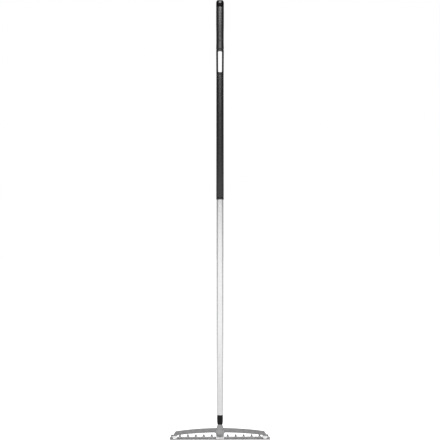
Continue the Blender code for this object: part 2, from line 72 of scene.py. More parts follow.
# Spine bar and arch sheet
SPINE_FRONT_Y = 4.6 * MM
SPINE_TOP = 10.4 * MM
SPINE_CORNER = 4 * MM
ARCH_FRONT_Y = 2.8 * MM
ARCH_TOP = 42.7 * MM
ARCH_TOP_RADIUS = 1163 * MM
ARCH_UNDER = 25.6 * MM
ARCH_UNDER_RADIUS = 1316 * MM
ARCH_POINTS = 18
ARM_SHOULDER_X = 165.8 * MM
ARM_SHOULDER_RADIUS = 7 * MM
ARM_INNER_X = 159.5 * MM
ARM_OUTER_X = 177 * MM
ARM_INNER_RADIUS = 4 * MM
ARM_FLARE_HEIGHT = 12.5 * MM
LEG_HALF = 14.7 * MM
LEG_FILLET = 6.5 * MM
CENTRE_FOOT_HALF = 17.5 * MM
FOOT_CORNER = 2.5 * MM
BEND_TOP = 13.9 * MM
BEND_RADIUS = 4 * MM
BEND_STEPS = 8
FOOT_SLOPE = math.radians(45)

# Forged tang: (height, half width, front Y, back Y, squareness) from the palm up to the neck
PALM_BACK_Y = ARCH_FRONT_Y - GAP
TANG_SECTIONS = (
    (18.4 * MM, 8.6 * MM, -2.2 * MM, PALM_BACK_Y, 4.0),
    (19.6 * MM, 10.4 * MM, -2.8 * MM, PALM_BACK_Y, 4.0),
    (22.0 * MM, 11.3 * MM, -3.0 * MM, PALM_BACK_Y, 4.0),
    (36.0 * MM, 11.6 * MM, -3.4 * MM, PALM_BACK_Y, 4.0),
    (43.2 * MM, 12.6 * MM, -4.9 * MM, PALM_BACK_Y, 3.2),
    (46.8 * MM, 11.9 * MM, -6.4 * MM, 4.4 * MM, 2.7),
    (50.5 * MM, 10.5 * MM, -7.8 * MM, 6.6 * MM, 2.3),
    (53.6 * MM, 9.5 * MM, -8.8 * MM, 8.2 * MM, 2.0),
    (56.2 * MM, 8.9 * MM, -8.9 * MM, 8.9 * MM, 2.0),
)
TANG_POINTS = 64
TANG_ROWS = 5
SPIGOT_RADIUS = 8 * MM
SPIGOT_TOP = 150 * MM

# Weld beads
WELD_RADIUS = 1.45 * MM
WELD_SEAT = 1.2 * MM
WELD_RIPPLE = 1.6 * MM
WELD_BODY = 0.88
WELD_SWELL = 0.1
WELD_UNEVEN = 0.05
WELD_UNEVEN_SIZE = 2.5 * MM
WELD_END = 0.15
WELD_SIDES = 12
WELD_STEPS_PER_RIPPLE = 4
FOOT_WELD_Y = -5.8 * MM
WELD_INSET = 2 * MM
PALM_WELD_X = 13.2 * MM
PALM_WELD_LOW = 22 * MM
PALM_WELD_HIGH = 37 * MM
STITCH_PLACES = (-150 * MM, -60 * MM, 60 * MM, 150 * MM)
STITCH_HALF = 9 * MM

# Shaft, ferrule and the rivet's place
TUBE_RADIUS = 12.5 * MM
TUBE_WALL = 1 * MM
TUBE_BOTTOM = 92 * MM
TUBE_TOP = 1360.1 * MM
TUBE_DEBURR = 0.4 * MM
PLUG_RADIUS = TUBE_RADIUS - TUBE_WALL - GAP
FERRULE_TOP = 172 * MM
FERRULE_BOTTOM = 56.5 * MM
FERRULE_BOTTOM_RADIUS = 9.3 * MM
FERRULE_TAPER_TOP = 74 * MM
FERRULE_NOSE_STEPS = 20
RIVET_HEIGHT = 122 * MM

# Rivet head: (radius, height off the tube, fillet) from the floor of its eye out to its rim
RIVET_CORNERS = (
    (0, 0.88 * MM, 0),
    (1.04 * MM, 0.88 * MM, 0),
    (1.3 * MM, 1.6 * MM, 0.2 * MM),
    (2.475 * MM, 1.52 * MM, 0.6 * MM),
    (3.96 * MM, 0.96 * MM, 0.4 * MM),
    (4.5 * MM, 0, 0),
    (0, 0, 0),
)

# Long sleeve and its collar
SLEEVE_BOTTOM = 904.2 * MM
SLEEVE_BOTTOM_RADIUS = 14 * MM
SLEEVE_MIDDLE = 1100 * MM
SLEEVE_MIDDLE_RADIUS = 13.85 * MM
SLEEVE_TOP_RADIUS = 13.7 * MM
SLEEVE_EDGE = 0.3 * MM
COLLAR_BOTTOM = 895.4 * MM
COLLAR_LIP_TOP = 901.8 * MM
COLLAR_RADIUS = 14.2 * MM
COLLAR_NECK_RADIUS = 13.5 * MM
COLLAR_ROUNDING = 1 * MM
COLLAR_LIP_EDGE = 0.5 * MM
COLLAR_NECK_FILLET = 0.3 * MM

# Hanger frame
FRAME_BOTTOM = 1360.4 * MM
FRAME_TOP = 1453 * MM
FRAME_BOTTOM_RADIUS = 13.8 * MM
FRAME_TOP_RADIUS = 14.4 * MM
FRAME_NECK_RADIUS = 13.6 * MM
FRAME_TOP_EDGE = 0.8 * MM
FRAME_BOTTOM_EDGE = 0.3 * MM
FRAME_STUB = 2 * MM
SLOT_BOTTOM = 1369.6 * MM
SLOT_TOP = 1450.3 * MM
SLOT_BOTTOM_HALF = 7.05 * MM
SLOT_TOP_HALF = 7.55 * MM
SLOT_BOTTOM_CORNER = 3 * MM
SLOT_TOP_CORNER = 5 * MM
SLOT_LIP = 1.3 * MM
SLOT_LIP_STEPS = 5
SLOT_LIP_DEGREES = 42
CORE_RADIUS = 10 * MM
CORE_TOP = 1610 * MM

# Soft grip: (height, radius) down its outer side
GRIP_TOP = 1613 * MM
GRIP_BOTTOM = 1455.2 * MM
GRIP_SIDE = (
    (GRIP_TOP, 13.9 * MM),
    (1611.8 * MM, 14.35 * MM),
    (1598 * MM, 14.5 * MM),
    (1554 * MM, 14.45 * MM),
    (1534 * MM, 14.25 * MM),
    (1516 * MM, 14.0 * MM),
    (1482 * MM, 13.95 * MM),
    (1468 * MM, 14.25 * MM),
    (1461 * MM, 14.4 * MM),
    (1457 * MM, 14.3 * MM),
    (GRIP_BOTTOM, 13.9 * MM),
)
GRIP_STEPS = 6

# End cap
CAP_TOP = 1640 * MM
CAP_BOTTOM = 1613.3 * MM
CAP_RADIUS = 14.6 * MM
CAP_SHOULDER_WIDTH = 6.5 * MM
CAP_SHOULDER_HEIGHT = 12 * MM
CAP_CROWN = 0.3 * MM
CAP_SHOULDER_STEPS = 24
CAP_EDGE = 0.6 * MM

# Camera, level at half the rake's height and a degree off its front
VIEW_HEIGHT = 1641.8 * MM
CAMERA_HEIGHT = 819.1 * MM
CAMERA_DISTANCE = 5.5
CAMERA_AZIMUTH = math.radians(-1.0)
SENSOR = 36

# Studio
AMBIENT = 0.35
REFLECTED = 0.18
SIDE_GREY = 0.04
SIDE_START = 0.6
SIDE_FULL = 0.95
BACKDROP_START = 0.93
BACKDROP_FULL = 0.99
FLOOR_HALF = 25
FLOOR_GAP = 0.2 * MM
FLOOR_COLOUR = (0.6, 0.6, 0.6)
FLOOR_LIFT = 0.91
FLOOR_GLOW = 0.2
FRONT_REACH = 1.7
FRONT_TURNS = (-24, 0, 24)
FRONT_LOW = 1.93
FRONT_HIGH = 3.0
FRONT_RADIANCE = 7.2
TOP_HEIGHT = 2.8
TOP_FORWARD = 0.4
TOP_SIDE = 1.8
TOP_RADIANCE = 3.1
LOW_REACH = 1.7
LOW_TURNS = (-75, -45, -15, 15, 45, 75)
LOW_BOTTOM = 0.02
LOW_TOP = 0.96
LOW_RADIANCE = 0.75
BACK_REACH = 3.5
BACK_HEIGHT = 2.2
BACK_AIM = 0.8
BACK_WIDTH = 3
BACK_TALL = 1.6
BACK_RADIANCE = 0.4

# Metals: dull and bright clouds, least and greatest roughness, and the sizes and depths of patterns
RUBBED = 0.56
WEAR_WIDTH = 0.7 * MM
SHEET_GREYS = (0.28, 0.33)
# Plate and spine bar: a lighter copy of the sheet steel, painted light for the brighter light low on the
# head
PLATE_LIT_GREYS = (0.4, 0.47)
STEEL_ROUGHNESS = (0.31, 0.42)
STEEL_CLOUDS = 14 * MM
ROLLED_LINES = 0.35 * MM
ROLLED_STRETCH = (24, 1, 1)
ROLLED_DEPTH = 0.006 * MM
FORGED_DULL = (0.385, 0.385, 0.39)
FORGED_BRIGHT = (0.435, 0.435, 0.435)
FORGED_ROUGHNESS = (0.36, 0.46)
FORGED_CLOUDS = 9 * MM
FORGED_PITS = 0.9 * MM
FORGED_DEPTH = 0.05 * MM
# Weld bead: its own faint straw tint, made much lighter than the sheet as a painted highlight for the
# bright feet
WELD_LIT_GREY = (0.68, 0.67, 0.66)
WELD_LIT_STRAW = (0.78, 0.76, 0.73)
WELD_ROUGHNESS = (0.4, 0.58)
WELD_SPOTS = 2 * MM
WELD_GRAIN = 0.6 * MM
ALUMINIUM_DULL = (0.81, 0.81, 0.815)
ALUMINIUM_BRIGHT = (0.85, 0.85, 0.855)
ALUMINIUM_ROUGHNESS = (0.26, 0.35)
ALUMINIUM_CLOUDS = 30 * MM
CLOUD_STRETCH = (1, 1, 4)
DRAWN_LINES = 0.25 * MM
DRAWN_STRETCH = (1, 1, 200)
DRAWN_DEPTH = 0.004 * MM

# Moulded blacks: (colour, roughness, grain size, grain depth, gloss), and how much they vary
HARD_BLACK = ((0.002, 0.002, 0.0021), 0.38, 0.45 * MM, 0.012 * MM, 0.8)
SOFT_BLACK = ((0.003, 0.003, 0.0031), 0.36, 0.3 * MM, 0.02 * MM, 0.98)
MATT_BLACK = ((0.006, 0.006, 0.0063), 0.4, 0.4 * MM, 0.01 * MM, 0.2)
CAP_BLACK = ((0.003, 0.0025, 0.0023), 0.05, 3 * MM, 0.003 * MM, 0.55)
MOULD_CLOUDS = 25 * MM
MOULD_SHADES = (0.85, 1.2)
MOULD_SHEEN = (0.87, 1.16)


def lowered(made, slot, *nodes):
    """Put a piece at its height in the model's frame, where it stands for these CAD nodes."""
    made.location.z -= SLOT_TOP
    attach(made, "root")
    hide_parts(*nodes)
    return made


def new_object(name, mesh, material):
    """An object of the scene that holds this mesh."""
    made = bpy.data.objects.new(name, mesh)
    bpy.context.scene.collection.objects.link(made)
    mesh.materials.append(material)
    return made


def mesh_from(name, bm):
    """Turn a bmesh into a mesh and free it."""
    bmesh.ops.recalc_face_normals(bm, faces=bm.faces[:])
    mesh = bpy.data.meshes.new(name)
    bm.to_mesh(mesh)
    bm.free()
    return mesh


def shade_round(mesh):
    """Smooth shading with sharp corners kept."""
    mesh.shade_smooth()
    mesh.set_sharp_from_angle(angle=SMOOTH_ANGLE)


def settle(made):
    """Apply a piece's modifiers, then shade it smooth with its flat faces kept flat."""
    graph = bpy.context.evaluated_depsgraph_get()
    mesh = bpy.data.meshes.new_from_object(made.evaluated_get(graph))
    made.modifiers.clear()
    made.data = mesh
    shade_round(mesh)
    weighted = made.modifiers.new("Flat faces", "WEIGHTED_NORMAL")
    weighted.keep_sharp = True


def round_corners(corners):
    """Outline through (a, b, radius) corners, with an arc at each corner that has a radius."""
    outline = []
    for index, (a, b, radius) in enumerate(corners):
        corner = Vector((a, b))
        if radius == 0:
            outline.append(corner)
            continue
        to_last = (Vector(corners[index - 1][:2]) - corner).normalized()
        to_next = (Vector(corners[(index + 1) % len(corners)][:2]) - corner).normalized()
        half_angle = to_last.angle(to_next) / 2
        centre = corner + (to_last + to_next).normalized() * radius / math.sin(half_angle)
        start = (corner + to_last * radius / math.tan(half_angle) - centre).normalized()
        end = (corner + to_next * radius / math.tan(half_angle) - centre).normalized()
        for step in range(ARC_STEPS + 1):
            outline.append(centre + start.slerp(end, step / ARC_STEPS) * radius)
    return outline


def eased(rows, steps):
    """Rows of numbers with smooth rows added between them, on a Catmull-Rom curve."""
    found = []
    for index in range(len(rows) - 1):
        before = rows[max(index - 1, 0)]
        after = rows[min(index + 2, len(rows) - 1)]
        for step in range(steps):
            t = step / steps
            row = []
            for a, b, c, d in zip(before, rows[index], rows[index + 1], after):
                bend = (c - a) * t + (2 * a - 5 * b + 4 * c - d) * t**2 + (3 * b - a - 3 * c + d) * t**3
                row.append(b + bend / 2)
            found.append(tuple(row))
    found.append(tuple(rows[-1]))
    return found


def turned_mesh(name, outline):
    """Closed mesh turned about Z from (radius, height) points that end on the axis or form a ring."""
    bm = bmesh.new()
    rings = []
    for radius, height in outline:
        if radius == 0:
            rings.append([bm.verts.new((0, 0, height))] * ROUND_STEPS)
            continue
        ring = []
        for step in range(ROUND_STEPS):
            angle = math.tau * step / ROUND_STEPS
            ring.append(bm.verts.new((radius * math.cos(angle), radius * math.sin(angle), height)))
        rings.append(ring)
    pairs = list(zip(rings, rings[1:]))
    if outline[0][0] > 0:
        pairs.append((rings[-1], rings[0]))
    for upper, lower in pairs:
        for index in range(ROUND_STEPS):
            after = (index + 1) % ROUND_STEPS
            corners = dict.fromkeys((upper[index], lower[index], lower[after], upper[after]))
            if len(corners) > 2:
                bm.faces.new(corners)
    mesh = mesh_from(name, bm)
    shade_round(mesh)
    return mesh


def turned(name, corners, material):
    """Body turned about Z from (radius, height, fillet) corners."""
    return new_object(name, turned_mesh(name, round_corners(corners)), material)


def loft_mesh(name, rings):
    """Closed mesh through rings of points, which all have the same number of points."""
    bm = bmesh.new()
    rows = [[bm.verts.new(point) for point in ring] for ring in rings]
    count = len(rows[0])
    for lower, upper in zip(rows, rows[1:]):
        for index in range(count):
            after = (index + 1) % count
            bm.faces.new((lower[index], lower[after], upper[after], upper[index]))
    bm.faces.new(reversed(rows[0]))
    bm.faces.new(rows[-1])
    mesh = mesh_from(name, bm)
    shade_round(mesh)
    return mesh


def cut(made, mesh):
    """Take a mesh's shape out of a piece, at once."""
    tool = bpy.data.objects.new("tool", mesh)
    bpy.context.scene.collection.objects.link(tool)
    boolean = made.modifiers.new("Cut", "BOOLEAN")
    boolean.operation = "DIFFERENCE"
    boolean.solver = "EXACT"
    boolean.object = tool
    bpy.context.view_layer.update()
    graph = bpy.context.evaluated_depsgraph_get()
    made.data = bpy.data.meshes.new_from_object(made.evaluated_get(graph))
    made.modifiers.clear()
    bpy.data.objects.remove(tool)


def soften(made, width, segments=3, degrees=40):
    """Round a piece's sharp edges."""
    bevel = made.modifiers.new("Soft edges", "BEVEL")
    bevel.width = width
    bevel.segments = segments
    bevel.limit_method = "ANGLE"
    bevel.angle_limit = math.radians(degrees)


def bent_sheet(name, outline, folds, bend, material):
    """Sheet metal cut to an outline, creased at each fold value of b, and laid out by bend(a, b)."""
    bm = bmesh.new()
    bm.faces.new([bm.verts.new((a, b, 0)) for a, b in outline])
    for fold in folds:
        # Without its normal a face with notches isn't split at all of its legs
        bm.normal_update()
        bmesh.ops.bisect_plane(
            bm, geom=bm.verts[:] + bm.edges[:] + bm.faces[:], plane_co=(0, fold, 0), plane_no=(0, 1, 0)
        )
    for vert in bm.verts:
        vert.co = bend(vert.co.x, vert.co.y)
    made = new_object(name, mesh_from(name, bm), material)
    solidify = made.modifiers.new("Sheet", "SOLIDIFY")
    solidify.thickness = SHEET
    solidify.offset = 0
    solidify.use_even_offset = True
    soften(made, SHEET_EDGE)
    settle(made)
    return made


def tine_comb(material):
    """Stamped plate with a straight front edge and tapered tines that curve up at the back."""
    corners = [
        (-HEAD_HALF_WIDTH, FRONT_EDGE_Y, FOOT_CORNER),
        (HEAD_HALF_WIDTH, FRONT_EDGE_Y, FOOT_CORNER),
    ]
    first = -TINE_PITCH * (TINE_COUNT - 1) / 2
    for index in reversed(range(TINE_COUNT)):
        x = first + TINE_PITCH * index
        corners += [
            (x + TINE_ROOT_HALF, GULLET_Y, GULLET_RADIUS if index < TINE_COUNT - 1 else 0),
            (x + TINE_TIP_HALF, TINE_TIP_Y, TINE_TIP_RADIUS),
            (x - TINE_TIP_HALF, TINE_TIP_Y, TINE_TIP_RADIUS),
            (x - TINE_ROOT_HALF, GULLET_Y, GULLET_RADIUS if index > 0 else 0),
        ]
    reach = TINE_TIP_Y - TINE_CURVE_START_Y
    folds = [TINE_CURVE_START_Y + reach * step / TINE_BENDS for step in range(TINE_BENDS)]

    def curve_up(x, y):
        along = max(0, y - TINE_CURVE_START_Y) / reach
        return (x, y, SHEET / 2 + TINE_RISE * along**2)

    made = bent_sheet("tined_plate", round_corners(corners), folds, curve_up, material)
    return lowered(made, "satin_steel", "tine_comb")


def spine_bar(material):
    """Flat bar on edge along the plate."""
    low = SHEET + GAP
    corners = [
        (-HEAD_HALF_WIDTH, low, 0),
        (HEAD_HALF_WIDTH, low, 0),
        (HEAD_HALF_WIDTH, SPINE_TOP, SPINE_CORNER),
        (-HEAD_HALF_WIDTH, SPINE_TOP, SPINE_CORNER),
    ]
    middle = SPINE_FRONT_Y + SHEET / 2
    made = bent_sheet("spine_bar_steel", round_corners(corners), [], lambda x, z: (x, middle, z), material)
    return lowered(made, "satin_steel", "spine_bar")


def arch_height(x, crown, radius):
    """Height of an arch line that is highest at the middle."""
    return crown - x**2 / (2 * radius)


def bow_half_corners(foot_end):
    """Right half of the arch sheet's outline, from the centre foot round to the top of the arch."""
    first = LEG_HALF + 2 * LEG_FILLET
    last = ARM_INNER_X - 2 * ARM_INNER_RADIUS
    under = [first + (last - first) * step / ARCH_POINTS for step in range(ARCH_POINTS + 1)]
    top_last = ARM_SHOULDER_X - 2 * ARM_SHOULDER_RADIUS
    over = [top_last * (1 - step / ARCH_POINTS) for step in range(ARCH_POINTS)]
    corners = [
        (CENTRE_FOOT_HALF, foot_end, FOOT_CORNER),
        (LEG_HALF, BEND_TOP - 2 * BEND_RADIUS, 0),
        (LEG_HALF, arch_height(LEG_HALF, ARCH_UNDER, ARCH_UNDER_RADIUS), LEG_FILLET),
    ]
    corners += [(x, arch_height(x, ARCH_UNDER, ARCH_UNDER_RADIUS), 0) for x in under]
    corners += [
        (ARM_INNER_X, arch_height(ARM_INNER_X, ARCH_UNDER, ARCH_UNDER_RADIUS), ARM_INNER_RADIUS),
        (ARM_INNER_X, foot_end, FOOT_CORNER),
        (ARM_OUTER_X, foot_end, FOOT_CORNER),
        (ARM_OUTER_X, ARM_FLARE_HEIGHT, ARM_INNER_RADIUS),
        (
            ARM_SHOULDER_X,
            arch_height(ARM_SHOULDER_X, ARCH_TOP, ARCH_TOP_RADIUS),
            ARM_SHOULDER_RADIUS,
        ),
    ]
    corners += [(x, arch_height(x, ARCH_TOP, ARCH_TOP_RADIUS), 0) for x in over]
    return corners


def fold_foot(x, height):
    """Place a point of the flat arch sheet: upright above the bend, sloping forward below it."""
    past = max(0, BEND_TOP - height)
    turn = min(past / BEND_RADIUS, FOOT_SLOPE)
    straight = max(0, past - BEND_RADIUS * FOOT_SLOPE)
    sideways = BEND_RADIUS * (1 - math.cos(turn)) + straight * math.sin(FOOT_SLOPE)
    down = BEND_RADIUS * math.sin(turn) + straight * math.cos(FOOT_SLOPE)
    return (x, ARCH_FRONT_Y + SHEET / 2 - sideways, max(height, BEND_TOP) - down)


def bow_frame(material):
    """Stamped arch with a centre leg and two end arms, each with a foot that reaches the plate."""
    lowest = SHEET + GAP + SHEET / 2 * math.sin(FOOT_SLOPE)
    slope_top = BEND_TOP - BEND_RADIUS * math.sin(FOOT_SLOPE)
    slope_length = (slope_top - lowest) / math.cos(FOOT_SLOPE)
    bend_length = BEND_RADIUS * FOOT_SLOPE
    half = bow_half_corners(BEND_TOP - bend_length - slope_length)
    mirrored = [(-x, height, radius) for x, height, radius in reversed(half)]
    folds = [BEND_TOP - bend_length * step / BEND_STEPS for step in range(BEND_STEPS + 1)]
    made = bent_sheet("bow_frame_steel", round_corners(half + mirrored), folds, fold_foot, material)
    return lowered(made, "satin_steel", "bow_frame")


def tang_ring(height, half_width, front, back, squareness):
    """Cross-section of the tang: a circle at squareness 2, and a flatter rounded box above that."""
    ring = []
    for index in range(TANG_POINTS):
        angle = math.tau * index / TANG_POINTS
        across = math.copysign(abs(math.cos(angle)) ** (2 / squareness), math.cos(angle))
        along = math.copysign(abs(math.sin(angle)) ** (2 / squareness), math.sin(angle))
        depth = (back + front) / 2 + (back - front) / 2 * along
        ring.append((half_width * across, depth, height))
    return ring


def socket_tang(material):
    """Forged palm that flares and rounds into a neck, with a spigot inside the shaft."""
    rings = [tang_ring(*section) for section in eased(TANG_SECTIONS, TANG_ROWS)]
    for height in (TANG_SECTIONS[-1][0], SPIGOT_TOP):
        rings.append(tang_ring(height, SPIGOT_RADIUS, -SPIGOT_RADIUS, SPIGOT_RADIUS, 2.0))
    made = new_object("tang_forging", loft_mesh("tang_forging", rings), material)
    return lowered(made, "satin_steel", "socket_tang")


def weld_bead(node, start, end, material):
    """Bead of weld metal in even ripples, rounded off at its two ends."""
    start = Vector(start)
    span = Vector(end) - start
    along = span.normalized()
    side = along.orthogonal().normalized()
    up = along.cross(side)
    ripples = round(span.length / WELD_RIPPLE)
    count = ripples * WELD_STEPS_PER_RIPPLE
    rings = []
    for step in range(count + 1):
        from_end = min(step, count - step) / count * span.length / WELD_RADIUS
        fullness = math.sqrt(1 - (1 - min(1, from_end)) ** 2)
        swell = math.sin(math.pi * (step % WELD_STEPS_PER_RIPPLE) / WELD_STEPS_PER_RIPPLE)
        place = start + span * (step / count)
        uneven = noise.noise(place / WELD_UNEVEN_SIZE)
        ripple = WELD_BODY + WELD_SWELL * swell + WELD_UNEVEN * uneven
        radius = WELD_RADIUS * max(WELD_END, fullness) * ripple
        ring = []
        for index in range(WELD_SIDES):
            angle = math.tau * index / WELD_SIDES
            ring.append(place + (side * math.cos(angle) + up * math.sin(angle)) * radius)
        rings.append(ring)
    name = node + "_bead"
    made = new_object(name, loft_mesh(name, rings), material)
    made.data.shade_smooth()
    return lowered(made, "weld_metal", node)


def head_welds(material):
    """Beads that hold the feet to the plate, the palm to the arch sheet and the spine bar to the plate."""
    low = SHEET + WELD_SEAT
    foot_spans = {
        "weld_foot_left": (-ARM_OUTER_X + WELD_INSET, -ARM_INNER_X - WELD_INSET),
        "weld_foot_centre": (-CENTRE_FOOT_HALF + WELD_INSET, CENTRE_FOOT_HALF - WELD_INSET),
        "weld_foot_right": (ARM_INNER_X + WELD_INSET, ARM_OUTER_X - WELD_INSET),
    }
    for node, (left, right) in foot_spans.items():
        weld_bead(node, (left, FOOT_WELD_Y, low), (right, FOOT_WELD_Y, low), material)
    palm_y = PALM_BACK_Y - WELD_SEAT
    for node, x in (("weld_palm_left", -PALM_WELD_X), ("weld_palm_right", PALM_WELD_X)):
        weld_bead(node, (x, palm_y, PALM_WELD_LOW), (x, palm_y, PALM_WELD_HIGH), material)
    stitch_y = SPINE_FRONT_Y + SHEET + WELD_SEAT
    for number, x in enumerate(STITCH_PLACES, start=1):
        ends = ((x - STITCH_HALF, stitch_y, low), (x + STITCH_HALF, stitch_y, low))
        weld_bead(f"weld_spine_{number}", *ends, material)


def shaft_tube(material):
    """Drawn aluminium tube with a deburred lower edge."""
    bore = TUBE_RADIUS - TUBE_WALL
    corners = [
        (TUBE_RADIUS, TUBE_TOP, 0),
        (TUBE_RADIUS, TUBE_BOTTOM, TUBE_DEBURR),
        (bore, TUBE_BOTTOM, TUBE_DEBURR),
        (bore, TUBE_TOP, 0),
    ]
    return lowered(turned("shaft_tube_drawn", corners, material), "satin_aluminium", "shaft_tube")


def ferrule(material):
    """Moulded plug with a bullet-shaped nose below the tube."""
    bore = SPIGOT_RADIUS + GAP
    outline = [Vector((PLUG_RADIUS, FERRULE_TOP))]
    taper = FERRULE_TAPER_TOP - FERRULE_BOTTOM
    for step in range(FERRULE_NOSE_STEPS + 1):
        down = step / FERRULE_NOSE_STEPS
        radius = PLUG_RADIUS - (PLUG_RADIUS - FERRULE_BOTTOM_RADIUS) * down**3
        outline.append(Vector((radius, FERRULE_TAPER_TOP - taper * down)))
    outline += [Vector((bore, FERRULE_BOTTOM)), Vector((bore, FERRULE_TOP))]
    made = new_object("ferrule_moulding", turned_mesh("ferrule_moulding", outline), material)
    return lowered(made, "hard_black", "ferrule")


def tang_rivet(material):
    """Blind rivet: a domed head with the small eye that its snapped stem leaves."""
    corners = [(radius, TUBE_RADIUS + height, fillet) for radius, height, fillet in RIVET_CORNERS]
    made = turned("rivet_head", corners, material)
    made.rotation_euler = (-math.pi / 2, 0, 0)
    made.location = (0, 0, RIVET_HEIGHT)
    return lowered(made, "satin_aluminium", "tang_rivet")


def grip_sleeve(material):
    """Long thin sleeve over the upper half of the tube."""
    corners = [
        (SLEEVE_TOP_RADIUS, TUBE_TOP, SLEEVE_EDGE),
        (SLEEVE_MIDDLE_RADIUS, SLEEVE_MIDDLE, 0),
        (SLEEVE_BOTTOM_RADIUS, SLEEVE_BOTTOM, SLEEVE_EDGE),
        (TUBE_RADIUS, SLEEVE_BOTTOM, 0),
        (TUBE_RADIUS, TUBE_TOP, 0),
    ]
    return lowered(turned("sleeve_moulding", corners, material), "hard_black", "grip_sleeve")


def sleeve_collar(material, painted_groove_shade):
    """End ring below the sleeve, with a narrower neck that shows as a groove; the neck takes the duller
    ferrule black, painted shade in the groove.
    """
    corners = [
        (COLLAR_NECK_RADIUS, SLEEVE_BOTTOM, 0),
        (COLLAR_NECK_RADIUS, COLLAR_LIP_TOP, COLLAR_NECK_FILLET),
        (COLLAR_RADIUS, COLLAR_LIP_TOP, COLLAR_LIP_EDGE),
        (COLLAR_RADIUS, COLLAR_BOTTOM, COLLAR_ROUNDING),
        (TUBE_RADIUS, COLLAR_BOTTOM, 0),
        (TUBE_RADIUS, SLEEVE_BOTTOM, 0),
    ]
    made = turned("collar_moulding", corners, material)
    made.data.materials.append(painted_groove_shade)
    # The neck's faces take the duller black: painted shade in the groove
    for face in made.data.polygons:
        if face.center.z > COLLAR_LIP_TOP:
            face.material_index = 1
    return lowered(made, "hard_black", "sleeve_collar")


def slot_mesh():
    """Body of the hanging slot: rounded, and a little wider at the top."""

    def ring(y):
        corners = [
            (-SLOT_BOTTOM_HALF, SLOT_BOTTOM, SLOT_BOTTOM_CORNER),
            (SLOT_BOTTOM_HALF, SLOT_BOTTOM, SLOT_BOTTOM_CORNER),
            (SLOT_TOP_HALF, SLOT_TOP, SLOT_TOP_CORNER),
            (-SLOT_TOP_HALF, SLOT_TOP, SLOT_TOP_CORNER),
        ]
        return [(x, y, height) for x, height in round_corners(corners)]

    outside = FRAME_TOP_RADIUS + CUTTER_EXTRA
    return loft_mesh("slot", [ring(-outside), ring(outside)])


def hanger_frame(material):
    """Moulded frame round the hanging slot, with a core that goes up into the soft grip."""
    corners = [
        (0, CORE_TOP, 0),
        (CORE_RADIUS, CORE_TOP, 0),
        (CORE_RADIUS, GRIP_BOTTOM, 0),
        (FRAME_NECK_RADIUS, GRIP_BOTTOM, 0),
        (FRAME_NECK_RADIUS, FRAME_TOP, 0),
        (FRAME_TOP_RADIUS, FRAME_TOP, FRAME_TOP_EDGE),
        (FRAME_BOTTOM_RADIUS, FRAME_BOTTOM, FRAME_BOTTOM_EDGE),
        (PLUG_RADIUS, FRAME_BOTTOM, 0),
        (PLUG_RADIUS, FRAME_BOTTOM - FRAME_STUB, 0),
        (0, FRAME_BOTTOM - FRAME_STUB, 0),
    ]
    made = turned("hanger_moulding", corners, material)
    cut(made, slot_mesh())
    soften(made, SLOT_LIP, SLOT_LIP_STEPS, SLOT_LIP_DEGREES)
    settle(made)
    return lowered(made, "hard_black", "hanger_frame")


def soft_grip(material):
    """Soft overmould with a waist in its lower half."""
    side = [Vector((radius, height)) for height, radius in eased(GRIP_SIDE, GRIP_STEPS)]
    outline = side + [Vector((CORE_RADIUS, GRIP_BOTTOM)), Vector((CORE_RADIUS, GRIP_TOP))]
    made = new_object("grip_overmould", turned_mesh("grip_overmould", outline), material)
    return lowered(made, "soft_black", "soft_grip")


def end_cap(material):
    """Rounded glossy cap on top of the grip."""
    shoulder = CAP_TOP - CAP_CROWN - CAP_SHOULDER_HEIGHT
    bottom = CAP_BOTTOM - GAP
    outline = [Vector((0, CAP_TOP))]
    for step in range(CAP_SHOULDER_STEPS + 1):
        angle = math.pi / 2 * (1 - step / CAP_SHOULDER_STEPS)
        radius = CAP_RADIUS - CAP_SHOULDER_WIDTH * (1 - math.cos(angle))
        outline.append(Vector((radius, shoulder + CAP_SHOULDER_HEIGHT * math.sin(angle))))
    outline += [
        Vector((CAP_RADIUS, bottom + CAP_EDGE)),
        Vector((CAP_RADIUS - CAP_EDGE, bottom)),
        Vector((0, bottom)),
    ]
    made = new_object("cap_moulding", turned_mesh("cap_moulding", outline), material)
    return lowered(made, "gloss_black", "end_cap")


def start_material(name, colour, roughness, metallic=0.0):
    """A Principled material that is ready for its patterns."""
    material = bpy.data.materials.new(name)
    material.use_nodes = True
    shader = material.node_tree.nodes["Principled BSDF"]
    shader.inputs["Base Color"].default_value = (*colour, 1)
    shader.inputs["Roughness"].default_value = roughness
    shader.inputs["Metallic"].default_value = metallic
    return material, shader


def add_node(material, kind, values=()):
    """A node with these (input, value) pairs set."""
    node = material.node_tree.nodes.new(kind)
    for key, value in values:
        node.inputs[key].default_value = value
    return node


def pattern(material, size, stretch=(1, 1, 1), detail=3.0):
    """Noise whose features are about this size in metres, drawn out by stretch along each axis."""
    links = material.node_tree.links
    place = add_node(material, "ShaderNodeTexCoord")
    scaled = add_node(material, "ShaderNodeMapping", [("Scale", [1 / part for part in stretch])])
    grain = add_node(material, "ShaderNodeTexNoise", [("Scale", 1 / size), ("Detail", detail)])
    links.new(place.outputs["Object"], scaled.inputs["Vector"])
    links.new(scaled.outputs["Vector"], grain.inputs["Vector"])
    return grain.outputs["Fac"]


def between(material, factor, low, high, start=0.35, stop=0.65):
    """A value that goes from low to high as the factor goes from start to stop."""
    spread = add_node(
        material,
        "ShaderNodeMapRange",
        [("From Min", start), ("From Max", stop), ("To Min", low), ("To Max", high)],
    )
    material.node_tree.links.new(factor, spread.inputs["Value"])
    return spread.outputs["Result"]


